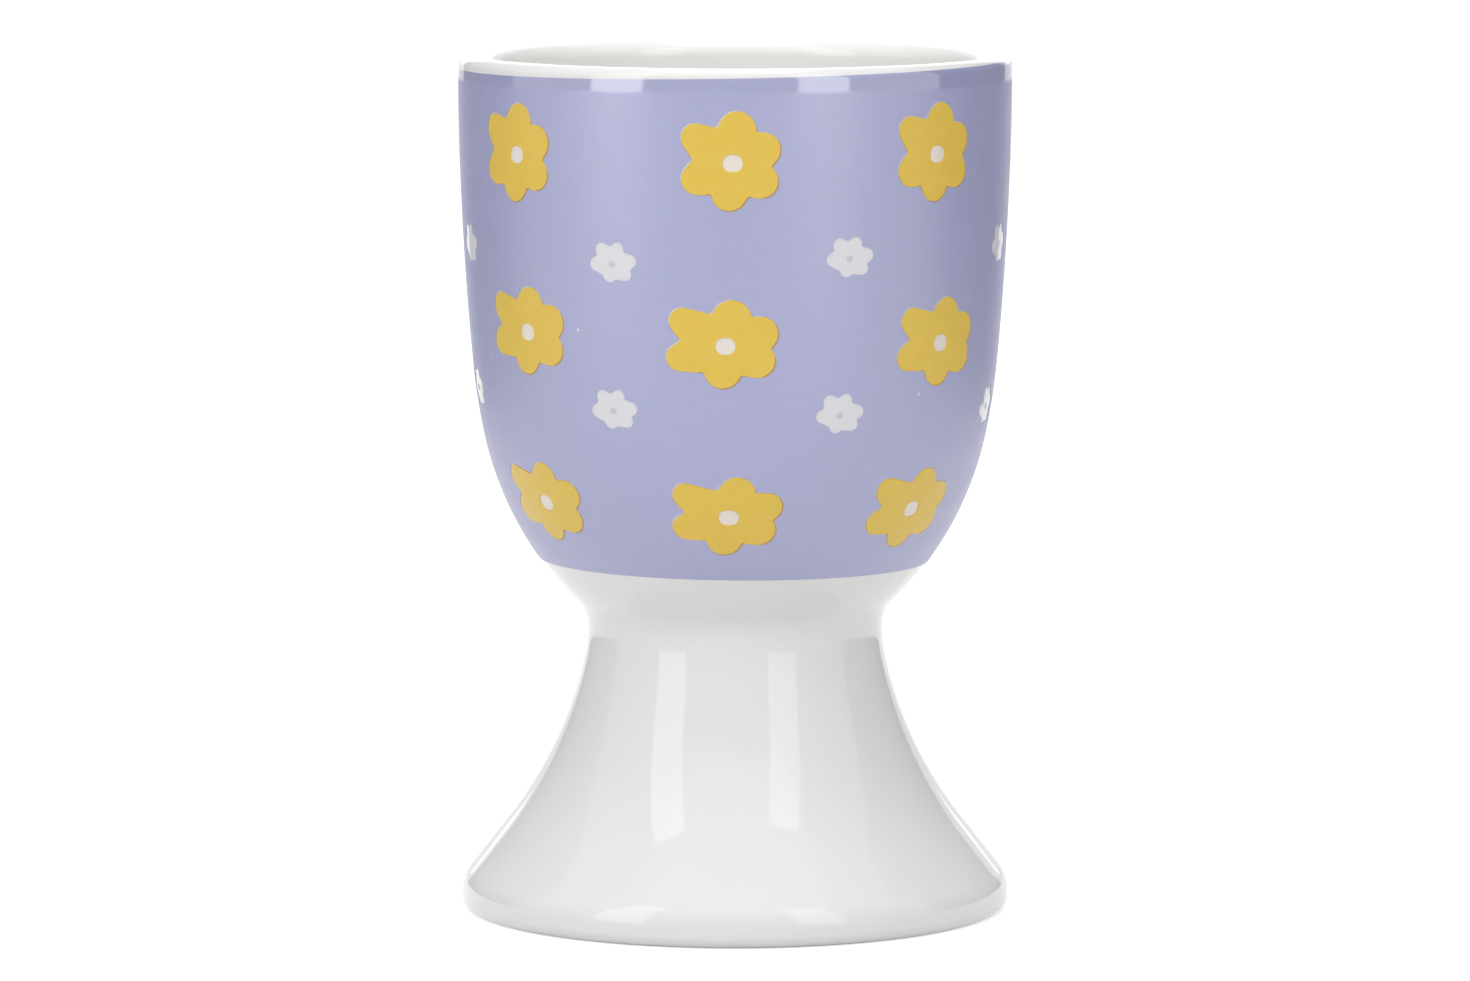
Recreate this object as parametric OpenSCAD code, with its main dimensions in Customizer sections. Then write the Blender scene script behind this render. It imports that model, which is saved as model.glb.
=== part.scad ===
// Footed porcelain egg cup: a thin round bowl joined with slip to a hollow flared foot.
// A lilac transfer with flower-shaped windows is fired onto the bowl, and yellow flowers
// are printed into its large windows. The small windows show the white glaze as white flowers.
// Z is up, -Y is the front, and the origin is the middle of the face that the cup rests on.
// All sizes are in millimetres and all angles in degrees.

/* [Cup] */
// Height from the resting face to the top of the lip
cup_h = 77.9; // [66:0.1:90]
// Outer radius of the cup, which the bowl has just below the lip and the foot at its edge
cup_r = 25; // [21:0.1:29]

/* [Bowl] */
// Wall thickness of the bowl
bowl_wall = 2.4; // [2:0.1:3]
// Rounding of the lip on its outer side
lip_round_r = 0.95; // [0.7:0.05:1.2]
// How steeply the side has turned in where the long side arc ends
side_deg = 5.4; // [4.5:0.1:6.5]
// Radius of the short arc between the side and the belly
shoulder_arc_r = 60; // [50:1:70]
// How steeply the outline has turned in where the shoulder arc ends
shoulder_deg = 11.3; // [10:0.1:13]
// How steeply the belly has turned in where it meets the joint
belly_deg = 44.9; // [42:0.1:48]

/* [Joint] */
// Radius of the slip fillet that is smoothed in under the bowl
joint_fillet_r = 3.5; // [2.8:0.1:4.2]
// Distance of the cut top of the foot below the narrowest place
joint_drop = 0.8; // [0.6:0.1:1.2]
// How far below the fillet's end the slip is wiped off, which leaves it a blunt edge
joint_wipe = 0.4; // [0.3:0.05:0.6]

/* [Foot] */
// Wall thickness of the foot
foot_wall = 2.8; // [2.4:0.1:3.2]
// Radius of the neck arc at the top of the foot
neck_arc_r = 11.6; // [9:0.1:14]
// How far the outline has flared where the neck arc ends
neck_deg = 11.8; // [10:0.1:14]
// Radius of the long hollow arc of the flare
flare_arc_r = 37; // [34:0.5:40]
// How far the outline has flared where the straight part starts
flare_deg = 38.5; // [36:0.1:41]
// Length of the straight part of the flare
flare_run = 5.4; // [4:0.1:7]
// Rounding of the foot's upper corner
edge_corner_r = 3.1; // [2.5:0.1:3.6]
// Height of the upright part of the foot's edge
edge_h = 0.65; // [0.4:0.05:1.2]
// Rounding of the foot's edge down to the resting face
edge_round_r = 1.1; // [0.8:0.05:1.4]
// Width of the foot's edge, from its outside to the opening underneath
edge_w = 3.4; // [2.6:0.1:4.5]
// Rounding of the opening's rim
opening_round_r = 0.6; // [0.4:0.05:0.8]

/* [Print] */
// Thickness of the fired print
print_t = 0.1; // [0.08:0.01:0.15]
// Clearance between the glaze and the print
print_clear = 0.01; // [0.005:0.005:0.02]
// Height of the bare glaze between the joint and the lilac ground
ground_gap = 3.75; // [1.5:0.05:5]
// Number of flower columns round the cup
columns = 7; // [5:1:7]
// Turn of the whole pattern round the cup
pattern_deg = -1.5; // [-10:0.5:10]
// How far the yellow print has slipped to the right in its windows
print_slip_right = 0.1; // [0.05:0.01:0.3]
// How far the yellow print has slipped downwards in its windows
print_slip_down = 0.09; // [0.05:0.01:0.3]
// Distance of the top row's middle below the lilac ground's upper edge
top_row_drop = 7.3; // [6:0.1:9]
// Distance of the bottom row's middle above the lilac ground's lower edge
bottom_row_rise = 6.05; // [5:0.05:8]
// Usual width of a yellow flower
yellow_w = 9.5; // [8:0.1:10.5]
// Usual height of a yellow flower
yellow_h = 8.2; // [7:0.1:8.8]
// Usual rounding of a yellow petal
yellow_petal_r = 1.55; // [1.4:0.05:1.7]
// Width of a yellow flower's open centre
yellow_eye_w = 1.8; // [1.6:0.05:2.2]
// Height of a yellow flower's open centre
yellow_eye_h = 1.5; // [1.1:0.05:1.55]
// Width of a white flower
white_w = 4.4; // [3.8:0.1:5]
// Height of a white flower
white_h = 3.5; // [3:0.1:4]
// Rounding of a white petal
white_petal_r = 0.57; // [0.45:0.01:0.65]
// Diameter of the dot in the middle of a white flower
white_dot_d = 0.6; // [0.4:0.05:0.9]

/* [Hidden] */
$fn = 256;
petal_fn = 72;
// One overrun serves all cuts
overrun = 1;
bowl_r = cup_r;
foot_r = cup_r;
opening_r = foot_r - edge_w;

// Petals, going round to the left from the one at the upper left. Each one has the place of
// its round tip's middle, as shares of half the flower's width and height, and its rounding
// as a share of the usual one. The yellow flowers are drawn a little differently row by row.
yellow_petal_shares = [
    [
        [-0.69, 0.54, 0.8], [-0.67, -0.35, 0.86], [-0.05, -0.65, 1.02],
        [0.555, -0.405, 0.93], [0.575, 0.28, 1], [0.09, 0.72, 1.04]
    ],
    [
        [-0.8, 0.53, 0.75], [-0.86, -0.27, 0.72], [-0.04, -0.525, 1.07],
        [0.635, -0.343, 0.92], [0.66, 0.245, 1.01], [0.125, 0.56, 1.13]
    ],
    [
        [-0.795, 0.49, 0.75], [-0.795, -0.285, 0.78], [-0.08, -0.57, 0.99],
        [0.57, -0.341, 0.95], [0.72, 0.22, 0.89], [0.17, 0.55, 1.04]
    ]
];
white_petal_shares = [
    [-0.45, 0.71, 1], [-0.72, -0.04, 1], [-0.12, -0.6, 1.02],
    [0.57, -0.52, 1], [0.79, 0.14, 1], [0.25, 0.76, 1]
];
// Radius of the flower's heart, as a share of half its height
yellow_heart_shares = [0.69, 0.63, 0.6];
white_heart_share = 0.78;
// A petal's straight edges start and end this far out in its rounds, as a share of their radii
petal_edge_share = 0.985;

// Hand laying: each flower's shift right and up, as shares of the column and row pitches,
// with the front column first and the next ones to its right
yellow_lay_shares = [
    [[0.02, 0], [-0.08, 0.02], [-0.03, 0.01], [0.02, 0], [0.03, -0.01], [-0.02, 0], [0.04, 0.01]],
    [[-0.01, -0.02], [-0.01, -0.05], [0.02, -0.04], [-0.03, -0.02], [0.01, -0.01], [0.02, 0], [0.06, 0.01]],
    [[0, 0], [-0.03, 0], [0.01, -0.01], [0.02, 0.01], [-0.01, 0], [0.02, 0.01], [0.01, 0.03]]
];
white_lay_shares = [
    [[0, 0], [-0.02, 0], [0.01, 0.01], [-0.02, 0.01], [0.02, -0.01], [0.06, 0], [0.02, -0.03]],
    [[-0.02, -0.02], [0.01, -0.07], [0.01, -0.03], [-0.01, 0], [0.02, 0.02], [-0.02, 0.03], [0, 0]]
];
// White flowers stand half-way between the yellow columns, and this far down from one
// yellow row to the next
white_offset_share = 0.5;
white_row_shares = [0.54, 0.40];

row_names = ["top", "middle", "bottom"];
white_row_names = ["upper", "lower"];
column_pitch = 360 / columns;
print_slip = [print_slip_right, -print_slip_down];
// The bars that cut the flowers out of the print reach this far through the side
cutter_h = 2 * bowl_wall;

// Foot outline, worked up from the resting face. Each place is [radius, height], and an
// outline's lean is its angle to the upright.
edge_top = edge_round_r + edge_h;
corner_centre = [foot_r - edge_corner_r, edge_top];
corner_end = corner_centre + edge_corner_r * [cos(flare_deg), sin(flare_deg)];
flare_start = corner_end + flare_run * [-sin(flare_deg), cos(flare_deg)];
flare_centre = flare_start + flare_arc_r * [cos(flare_deg), sin(flare_deg)];
neck_start = flare_centre - flare_arc_r * [cos(neck_deg), sin(neck_deg)];
neck_centre = neck_start + neck_arc_r * [cos(neck_deg), sin(neck_deg)];
// The narrowest place of the cup
waist = neck_centre - [neck_arc_r, 0];
joint_z = waist[1] - joint_drop;

// Bowl outline, from the waist up. The fillet and the shoulder arc have set radii, and the
// belly and side arcs get the radii with which the outline ends upright at the lip.
fillet_centre = waist + [joint_fillet_r, 0];
belly_foot = fillet_centre + joint_fillet_r * [-cos(belly_deg), sin(belly_deg)];
lip_base = [bowl_r, cup_h - lip_round_r];
room = lip_base - belly_foot - shoulder_arc_r * arc_step(side_deg, shoulder_deg);
belly_step = arc_step(shoulder_deg, belly_deg);
side_step = arc_step(0, side_deg);
solve_by = belly_step[0] * side_step[1] - belly_step[1] * side_step[0];
belly_arc_r = (room[0] * side_step[1] - room[1] * side_step[0]) / solve_by;
side_arc_r = (belly_step[0] * room[1] - belly_step[1] * room[0]) / solve_by;
side_centre = lip_base - [side_arc_r, 0];
shoulder_centre = side_centre + (side_arc_r - shoulder_arc_r) * [cos(side_deg), -sin(side_deg)];
belly_centre = shoulder_centre + (shoulder_arc_r - belly_arc_r) * [cos(shoulder_deg), -sin(shoulder_deg)];
// The bottom of the bowl is a part of a ball whose middle is on the axis
bottom_lift = belly_centre[0] / cos(belly_deg);
bottom_r = belly_arc_r + bottom_lift;
bottom_z = belly_centre[1] + belly_centre[0] * tan(belly_deg);

side_z = arc_z(side_centre, side_arc_r, side_deg);
shoulder_z = arc_z(belly_centre, belly_arc_r, shoulder_deg);
ground_top = lip_base[1];
ground_bottom = belly_foot[1] + ground_gap;
row_pitch = (ground_top - ground_bottom - top_row_drop - bottom_row_rise) / (len(row_names) - 1);

// The way that one arc of unit radius takes the outline outwards and up between two leans
function arc_step(lean_a, lean_b) = [cos(lean_a) - cos(lean_b), sin(lean_b) - sin(lean_a)];
// Height at which an arc leans inwards by an angle
function arc_z(centre, r, lean) = centre[1] - r * sin(lean);
// Height at which the flare's straight run, if it went on, would meet the axis
function axis_z(place) = place[1] + place[0] / tan(flare_deg);
// Lean of the bowl's side at a height
function lean_at(z) =
    z > side_z ? asin((side_centre[1] - z) / side_arc_r)
    : z > shoulder_z ? asin((shoulder_centre[1] - z) / shoulder_arc_r)
    : asin((belly_centre[1] - z) / belly_arc_r);
// Outer radius of the bowl at a height
function radius_at(z) =
    z > side_z ? side_centre[0] + side_arc_r * cos(lean_at(z))
    : z > shoulder_z ? shoulder_centre[0] + shoulder_arc_r * cos(lean_at(z))
    : belly_centre[0] + belly_arc_r * cos(lean_at(z));
function yellow_name(row, column) = str("yellow_flower_", row_names[row], "_", column + 1);
function dot_name(row, column) = str("white_flower_dot_", white_row_names[row], "_", column + 1);
function yellow_deg(row, column) =
    pattern_deg + column_pitch * (column + yellow_lay_shares[row][column][0]);
function yellow_z(row, column) =
    ground_top - top_row_drop - row_pitch * (row - yellow_lay_shares[row][column][1]);
function white_deg(row, column) =
    pattern_deg + column_pitch * (column + white_offset_share + white_lay_shares[row][column][0]);
function white_z(row, column) =
    ground_top - top_row_drop
    - row_pitch * (row + white_row_shares[row] - white_lay_shares[row][column][1]);

// Flat outlines, drawn in [radius, height]

// The part of a disc between two heights, from the axis outwards
module disc_slice(centre, r, z_low, z_high) {
    intersection() {
        translate(centre) circle(r = r);
        translate([0, z_low]) square([bowl_r + foot_r, z_high - z_low]);
    }
}

// What lies inwards of a hollow arc between two heights
module hollow_slice(centre, r, reach_r, z_low, z_high) {
    difference() {
        translate([0, z_low]) square([reach_r, z_high - z_low]);
        translate(centre) circle(r = r);
    }
}

// The bowl's outline below the lip, made larger by grow, or smaller where grow is negative.
// Each arc is tighter than the one above it, so its disc reaches up inside that one's.
module bowl_side_outline(grow) {
    top_z = lip_base[1];
    arc_1_z = arc_z(side_centre, side_arc_r + grow, side_deg);
    arc_2_z = arc_z(shoulder_centre, shoulder_arc_r + grow, shoulder_deg);
    arc_3_z = arc_z(belly_centre, belly_arc_r + grow, belly_deg);
    disc_slice(side_centre, side_arc_r + grow, arc_1_z, top_z);
    disc_slice(shoulder_centre, shoulder_arc_r + grow, arc_2_z, top_z);
    disc_slice(belly_centre, belly_arc_r + grow, arc_3_z, top_z);
    disc_slice([0, bottom_z], bottom_r + grow, bottom_z - bottom_r - grow, top_z);
}

// The bowl's whole section. The lip is round, with a wider rounding towards the egg.
module bowl_outline() {
    inner_round_r = bowl_wall - lip_round_r;
    crest_r = bowl_r - lip_round_r;
    inner_base_z = cup_h - inner_round_r;
    difference() {
        union() {
            bowl_side_outline(0);
            translate([crest_r, lip_base[1]]) circle(r = lip_round_r);
            translate([0, inner_base_z]) square([crest_r, inner_round_r]);
        }
        bowl_side_outline(-bowl_wall);
        hollow_slice([crest_r, inner_base_z], inner_round_r, crest_r, inner_base_z, cup_h + overrun);
    }
}

// The foot's outer outline, from the axis outwards
module foot_outer_outline() {
    flat_r = foot_r - edge_round_r;
    square([flat_r, edge_top]);
    intersection() {
        translate([flat_r, edge_round_r]) circle(r = edge_round_r);
        square([foot_r, edge_top]);
    }
    translate([0, edge_round_r]) square([foot_r, edge_h]);
    disc_slice(corner_centre, edge_corner_r, edge_round_r, corner_end[1]);
    polygon([[0, edge_top], corner_centre, corner_end, flare_start, [0, axis_z(flare_start)]]);
    hollow_slice(flare_centre, flare_arc_r, flare_start[0], flare_start[1], waist[1]);
    hollow_slice(neck_centre, neck_arc_r, neck_start[0], neck_start[1], waist[1]);
}

// The hollow of the foot follows the flare at the wall's distance and ends upright at the bottom
module foot_hollow_outline() {
    flare_in = flare_start - foot_wall * [cos(flare_deg), sin(flare_deg)];
    neck_in = neck_start - foot_wall * [cos(neck_deg), sin(neck_deg)];
    upright_z = flare_in[1] - (opening_r - flare_in[0]) / tan(flare_deg);
    rim_r = opening_r + opening_round_r;
    polygon([
        [0, -overrun], [opening_r, -overrun], [opening_r, upright_z], flare_in, [0, axis_z(flare_in)]
    ]);
    hollow_slice([rim_r, opening_round_r], opening_round_r, rim_r, -overrun, opening_round_r);
    hollow_slice(flare_centre, flare_arc_r + foot_wall, flare_in[0], flare_in[1], waist[1]);
    hollow_slice(neck_centre, neck_arc_r + foot_wall, neck_in[0], neck_in[1], waist[1]);
}

// A petal: a round tip that widens in straight lines towards the flower's round heart
module petal(middle, r, heart_r) {
    aim_deg = atan2(middle[1], middle[0]);
    turn_deg = acos((heart_r - r) / norm(middle));
    right = petal_edge_share * [cos(aim_deg - turn_deg), sin(aim_deg - turn_deg)];
    left = petal_edge_share * [cos(aim_deg + turn_deg), sin(aim_deg + turn_deg)];
    translate(middle) circle(r = r, $fn = petal_fn);
    polygon([heart_r * right, middle + r * right, middle + r * left, heart_r * left]);
}

module blossom_outline(size, petal_r, petal_shares, heart_share) {
    heart_r = heart_share * size[1] / 2;
    circle(r = heart_r, $fn = petal_fn);
    for (share = petal_shares)
        petal([share[0] * size[0] / 2, share[1] * size[1] / 2], share[2] * petal_r, heart_r);
}

module yellow_outline(row) {
    blossom_outline([yellow_w, yellow_h], yellow_petal_r, yellow_petal_shares[row], yellow_heart_shares[row]);
}

module white_outline() {
    blossom_outline([white_w, white_h], white_petal_r, white_petal_shares, white_heart_share);
}

// A lying oval with round ends
module eye_outline() {
    run = yellow_eye_w - yellow_eye_h;
    for (side = [-1, 1]) translate([side * run / 2, 0]) circle(d = yellow_eye_h, $fn = petal_fn);
    square([run, yellow_eye_h], center = true);
}

// Stands a flat outline on the bowl's side, square to the surface, as a short bar through it
module bar_through_side(turn_deg, z) {
    rotate([0, 0, turn_deg])
    translate([0, -radius_at(z), z])
    rotate([90 + lean_at(z), 0, 0])
    linear_extrude(height = cutter_h, center = true) children();
}

// The thin skin on the bowl's outside in which everything printed lies
module print_skin() {
    rotate_extrude() intersection() {
        difference() {
            bowl_side_outline(print_clear + print_t);
            bowl_side_outline(print_clear);
        }
        translate([0, ground_bottom]) square([bowl_r + foot_r, ground_top - ground_bottom]);
    }
}

// Sub-parts

module bowl() {
    color("#eeeeec") rotate_extrude() bowl_outline();
}

module slip_joint() {
    wiped_z = belly_foot[1] - joint_wipe;
    color("#e9e8e4") rotate_extrude() difference() {
        translate([0, joint_z]) square([belly_foot[0], wiped_z - joint_z]);
        translate(fillet_centre) circle(r = joint_fillet_r);
        translate(neck_centre) circle(r = neck_arc_r);
        translate([0, bottom_z]) circle(r = bottom_r);
        foot_hollow_outline();
    }
}

module foot() {
    color("#ebebe9") rotate_extrude() difference() {
        foot_outer_outline();
        foot_hollow_outline();
        translate([0, joint_z]) square([foot_r, cup_h]);
        translate([0, bottom_z]) circle(r = bottom_r);
    }
}

module lilac_ground() {
    color("#b2b4d1") difference() {
        print_skin();
        for (row = [0 : len(row_names) - 1], column = [0 : columns - 1])
            bar_through_side(yellow_deg(row, column), yellow_z(row, column)) {
                yellow_outline(row);
                translate(-print_slip) yellow_outline(row);
            }
        for (row = [0 : len(white_row_names) - 1], column = [0 : columns - 1])
            bar_through_side(white_deg(row, column), white_z(row, column)) white_outline();
    }
}

module yellow_flower(row, column) {
    color("#e2be5e") intersection() {
        print_skin();
        bar_through_side(yellow_deg(row, column), yellow_z(row, column)) difference() {
            yellow_outline(row);
            eye_outline();
        }
    }
}

module white_flower_dot(row, column) {
    color("#cfcfd6") intersection() {
        print_skin();
        bar_through_side(white_deg(row, column), white_z(row, column))
            circle(d = white_dot_d, $fn = petal_fn);
    }
}

bowl();
slip_joint();
foot();
lilac_ground();
for (row = [0 : len(row_names) - 1], column = [0 : columns - 1])
    yellow_flower(row, column);
for (row = [0 : len(white_row_names) - 1], column = [0 : columns - 1])
    white_flower_dot(row, column);
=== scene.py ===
"""Footed porcelain egg cup: glazed bowl and foot, and a lilac print with yellow and white flowers.

Lengths are in millimetres in the tables below and in metres once they reach Blender.
Z is up, -Y is the front, and the cup stands on z = 0.
"""

import math

import bpy
from mathutils import Matrix, Vector


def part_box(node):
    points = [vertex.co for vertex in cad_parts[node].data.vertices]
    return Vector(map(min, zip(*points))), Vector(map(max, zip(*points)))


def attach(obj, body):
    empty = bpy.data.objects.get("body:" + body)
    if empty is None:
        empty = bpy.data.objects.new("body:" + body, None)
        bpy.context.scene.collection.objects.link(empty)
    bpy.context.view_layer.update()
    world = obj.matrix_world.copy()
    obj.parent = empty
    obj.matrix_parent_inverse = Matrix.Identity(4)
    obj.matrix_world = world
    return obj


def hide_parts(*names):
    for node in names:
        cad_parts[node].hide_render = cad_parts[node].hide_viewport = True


MM = 0.001
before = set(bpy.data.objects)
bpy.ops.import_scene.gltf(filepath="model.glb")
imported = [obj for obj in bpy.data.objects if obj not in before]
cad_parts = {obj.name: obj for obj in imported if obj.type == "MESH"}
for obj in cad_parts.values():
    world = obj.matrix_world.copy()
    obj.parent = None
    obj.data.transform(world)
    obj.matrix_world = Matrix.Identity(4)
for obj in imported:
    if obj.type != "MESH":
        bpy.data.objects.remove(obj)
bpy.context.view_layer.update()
bpy.ops.object.select_all(action="DESELECT")

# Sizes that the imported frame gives
_, cup_high = (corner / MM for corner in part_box("bowl"))
ground_low, ground_high = (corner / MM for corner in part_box("lilac_ground"))
_, foot_high = (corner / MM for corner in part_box("foot"))
CUP_H = cup_high.z
BOWL_R = cup_high.x
FOOT_R = foot_high.x
GROUND_TOP = ground_high.z
GROUND_BOTTOM = ground_low.z
JOINT_Z = foot_high.z

# Outline of the bowl. A lean is the outline's angle to the upright.
BOWL_WALL = 2.4
LIP_ROUND_R = 0.95
SIDE_DEG = 5.4
SHOULDER_ARC_R = 60
SHOULDER_DEG = 11.3
BELLY_DEG = 44.9
FILLET_R = 3.5

# Outline of the foot. The glaze is wiped off its resting ring up to BARE_H.
FOOT_WALL = 2.8
NECK_ARC_R = 11.6
NECK_DEG = 11.8
FLARE_ARC_R = 37
FLARE_DEG = 38.5
FLARE_RUN = 5.4
CORNER_R = 3.1
EDGE_H = 0.65
EDGE_ROUND_R = 1.1
OPENING_R = 21.6
OPENING_ROUND_R = 0.6
BARE_H = 0.12

# The fired print. A relief is how far a print stands off the glaze. The lilac's back lies
# GROUND_ROOT inside the glaze, and the lilac thins out by THIN_SHARE over THIN_H below the lip.
GROUND_RELIEF = 0.055
GROUND_ROOT = 0.05
THIN_H = 1.1
THIN_SHARE = 0.9
YELLOW_RELIEF = 0.08
DOT_RELIEF = 0.05
PRINT_SLIP = Vector((0.1, -0.09))
COLUMNS = 7
PATTERN_DEG = -1.5
TOP_ROW_DROP = 7.3
BOTTOM_ROW_RISE = 6.05
YELLOW_EYE = (1.8, 1.5)
WHITE_ROW_SHARES = (0.54, 0.40)
DOT_D = 0.6
EDGE_ROUND = 0.04

# Flowers: the radius of the round heart, and each petal's round tip as (right, up, radius)
YELLOW_FLOWERS = (
    (2.75, ((-3.25, 2.2, 1.28), (-3.15, -1.42, 1.38), (-0.24, -2.66, 1.6),
            (2.62, -1.66, 1.46), (2.72, 1.14, 1.56), (0.43, 2.93, 1.64))),
    (2.5, ((-3.74, 2.12, 1.24), (-4.04, -1.1, 1.2), (-0.19, -2.16, 1.7),
           (3.0, -1.4, 1.46), (3.12, 1.0, 1.6), (0.59, 2.3, 1.78))),
    (2.4, ((-3.74, 1.98, 1.22), (-3.74, -1.16, 1.26), (-0.38, -2.34, 1.58),
           (2.7, -1.4, 1.52), (3.42, 0.9, 1.42), (0.81, 2.28, 1.64))),
)
WHITE_FLOWER = (1.36, ((-1.0, 1.24, 0.62), (-1.6, -0.07, 0.62), (-0.28, -1.04, 0.62),
                       (1.27, -0.9, 0.6), (1.75, 0.24, 0.61), (0.55, 1.32, 0.61)))

# How far each flower was laid from its regular place, as shares (right, up) of the pitch
YELLOW_LAY = (
    ((0.02, 0), (-0.08, 0.02), (-0.03, 0.01), (0.02, 0), (0.03, -0.01), (-0.02, 0), (0.04, 0.01)),
    ((-0.01, -0.02), (-0.01, -0.05), (0.02, -0.04), (-0.03, -0.02), (0.01, -0.01), (0.02, 0), (0.06, 0.01)),
    ((0, 0), (-0.03, 0), (0.01, -0.01), (0.02, 0.01), (-0.01, 0), (0.02, 0.01), (0.01, 0.03)),
)
WHITE_LAY = (
    ((0, 0), (-0.02, 0), (0.01, 0.01), (-0.02, 0.01), (0.02, -0.01), (0.06, 0), (0.02, -0.03)),
    ((-0.02, -0.02), (0.01, -0.07), (0.01, -0.03), (-0.01, 0), (0.02, 0.02), (-0.02, 0.03), (0, 0)),
)
ROW_NAMES = ("top", "middle", "bottom")
WHITE_ROW_NAMES = ("upper", "lower")
ROW_PITCH = (GROUND_TOP - GROUND_BOTTOM - TOP_ROW_DROP - BOTTOM_ROW_RISE) / (len(ROW_NAMES) - 1)

# The transfer was laid a little askew: how far its edges sit above their usual heights in
# front, and how much farther at the right than in front
TOP_LIFT = (0.13, 0.42)
BOTTOM_LIFT = (0.1, -0.17)

# The print's roughness varies by so much. Near the lip it is glossy: how far below its upper edge
# the gloss starts and is full, and the roughness that it has there
UNEVEN_ROUGH = 0.03
GLOSS_START = 1.4
GLOSS_FULL = 1
GLOSS_ROUGH = 0.08

# Pale specks lie about so many to the metre in every direction, and few of them meet the surface. They are
# partly pinholes where the glaze shows through the print and partly painted glints.
PINHOLE_AND_GLINT_SPECKS_PER_METRE = 210

# How finely things are spun and outlined. A dot's rings end POLE_R from its middle.
TURNS = 288
FLOWER_SIDES = 168
PETAL_RINGS = 9
DOT_SIDES = 32
POLE_R = 0.01

# Places that lie closer than this count as one, in millimetres for outlines and in metres for meshes.
# A divisor is kept above NEARLY_NONE.
SAME_PLACE = 1e-4
SAME_POINT = 1e-7
NEARLY_NONE = 1e-9


# Outlines, as places (radius from the axis, height) in millimetres


def unit(deg):
    """The way of length 1 at an angle that counts from outwards to upwards."""
    return Vector((math.cos(math.radians(deg)), math.sin(math.radians(deg))))


def arc(centre, r, first_deg, last_deg, steps):
    """Places on an arc of a circle, both ends included."""
    return [centre + r * unit(first_deg + (last_deg - first_deg) * i / steps) for i in range(steps + 1)]


def arc_step(lean_a, lean_b):
    """The way that an arc of unit radius takes the outline outwards and up between two leans."""
    a, b = math.radians(lean_a), math.radians(lean_b)
    return Vector((math.cos(a) - math.cos(b), math.sin(b) - math.sin(a)))


# The foot, worked up from the resting ring
edge_top = EDGE_ROUND_R + EDGE_H
corner_centre = Vector((FOOT_R - CORNER_R, edge_top))
corner_end = corner_centre + CORNER_R * unit(FLARE_DEG)
flare_start = corner_end + FLARE_RUN * unit(90 + FLARE_DEG)
flare_centre = flare_start + FLARE_ARC_R * unit(FLARE_DEG)
neck_start = flare_centre - FLARE_ARC_R * unit(NECK_DEG)
neck_centre = neck_start + NECK_ARC_R * unit(NECK_DEG)
waist = neck_centre - Vector((NECK_ARC_R, 0))

# The bowl, with belly and side arcs that end the outline upright at the lip
fillet_centre = waist + Vector((FILLET_R, 0))
belly_foot = fillet_centre + FILLET_R * unit(180 - BELLY_DEG)
lip_base = Vector((BOWL_R, CUP_H - LIP_ROUND_R))
room = lip_base - belly_foot - SHOULDER_ARC_R * arc_step(SIDE_DEG, SHOULDER_DEG)
belly_step = arc_step(SHOULDER_DEG, BELLY_DEG)
side_step = arc_step(0, SIDE_DEG)
solve_by = belly_step.x * side_step.y - belly_step.y * side_step.x
belly_arc_r = (room.x * side_step.y - room.y * side_step.x) / solve_by
side_arc_r = (belly_step.x * room.y - belly_step.y * room.x) / solve_by
side_centre = lip_base - Vector((side_arc_r, 0))
shoulder_centre = side_centre + (side_arc_r - SHOULDER_ARC_R) * unit(-SIDE_DEG)
belly_centre = shoulder_centre + (SHOULDER_ARC_R - belly_arc_r) * unit(-SHOULDER_DEG)
bottom_r = belly_arc_r + belly_centre.x / math.cos(math.radians(BELLY_DEG))
bottom_centre = Vector((0, belly_centre.y + belly_centre.x * math.tan(math.radians(BELLY_DEG))))


def lean_at(z):
    """Lean of the bowl's side at a height, in degrees."""
    upper_arcs = ((side_centre, side_arc_r, SIDE_DEG), (shoulder_centre, SHOULDER_ARC_R, SHOULDER_DEG))
    for centre, r, lean in upper_arcs:
        if z > centre.y - r * math.sin(math.radians(lean)):
            return math.degrees(math.asin((centre.y - z) / r))
    return math.degrees(math.asin((belly_centre.y - z) / belly_arc_r))


def radius_at(z):
    """Outer radius of the glazed bowl at a height."""
    lean = lean_at(z)
    if lean < SIDE_DEG:
        return side_centre.x + side_arc_r * math.cos(math.radians(lean))
    if lean < SHOULDER_DEG:
        return shoulder_centre.x + SHOULDER_ARC_R * math.cos(math.radians(lean))
    return belly_centre.x + belly_arc_r * math.cos(math.radians(lean))


def chain(*arcs):
    """Arcs joined into one outline, with the places that they share written once."""
    places = []
    for piece in arcs:
        for place in piece:
            if not places or (place - places[-1]).length > SAME_PLACE:
                places.append(place)
    return places


def bowl_side(grow):
    """The bowl's side from the axis up to the lip, larger by grow."""
    return chain(
        arc(bottom_centre, bottom_r + grow, -90, -BELLY_DEG, 24),
        arc(belly_centre, belly_arc_r + grow, -BELLY_DEG, -SHOULDER_DEG, 30),
        arc(shoulder_centre, SHOULDER_ARC_R + grow, -SHOULDER_DEG, -SIDE_DEG, 10),
        arc(side_centre, side_arc_r + grow, -SIDE_DEG, 0, 28),
    )


def bowl_outline():
    """The bowl's whole section: up its outside, over the lip and down its inside to the axis."""
    side_gap = 0.05
    crest_r = BOWL_R - LIP_ROUND_R
    inner_round_r = BOWL_WALL - LIP_ROUND_R
    outer_round = arc(Vector((crest_r, lip_base.y)), LIP_ROUND_R, 0, 90, 12)
    inner_round = arc(Vector((crest_r, CUP_H - inner_round_r)), inner_round_r, 90, 180, 12)
    inside_top = CUP_H - inner_round_r - side_gap
    inside = [place for place in reversed(bowl_side(-BOWL_WALL)) if place.y < inside_top]
    return chain(bowl_side(0), outer_round, inner_round, inside)


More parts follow.
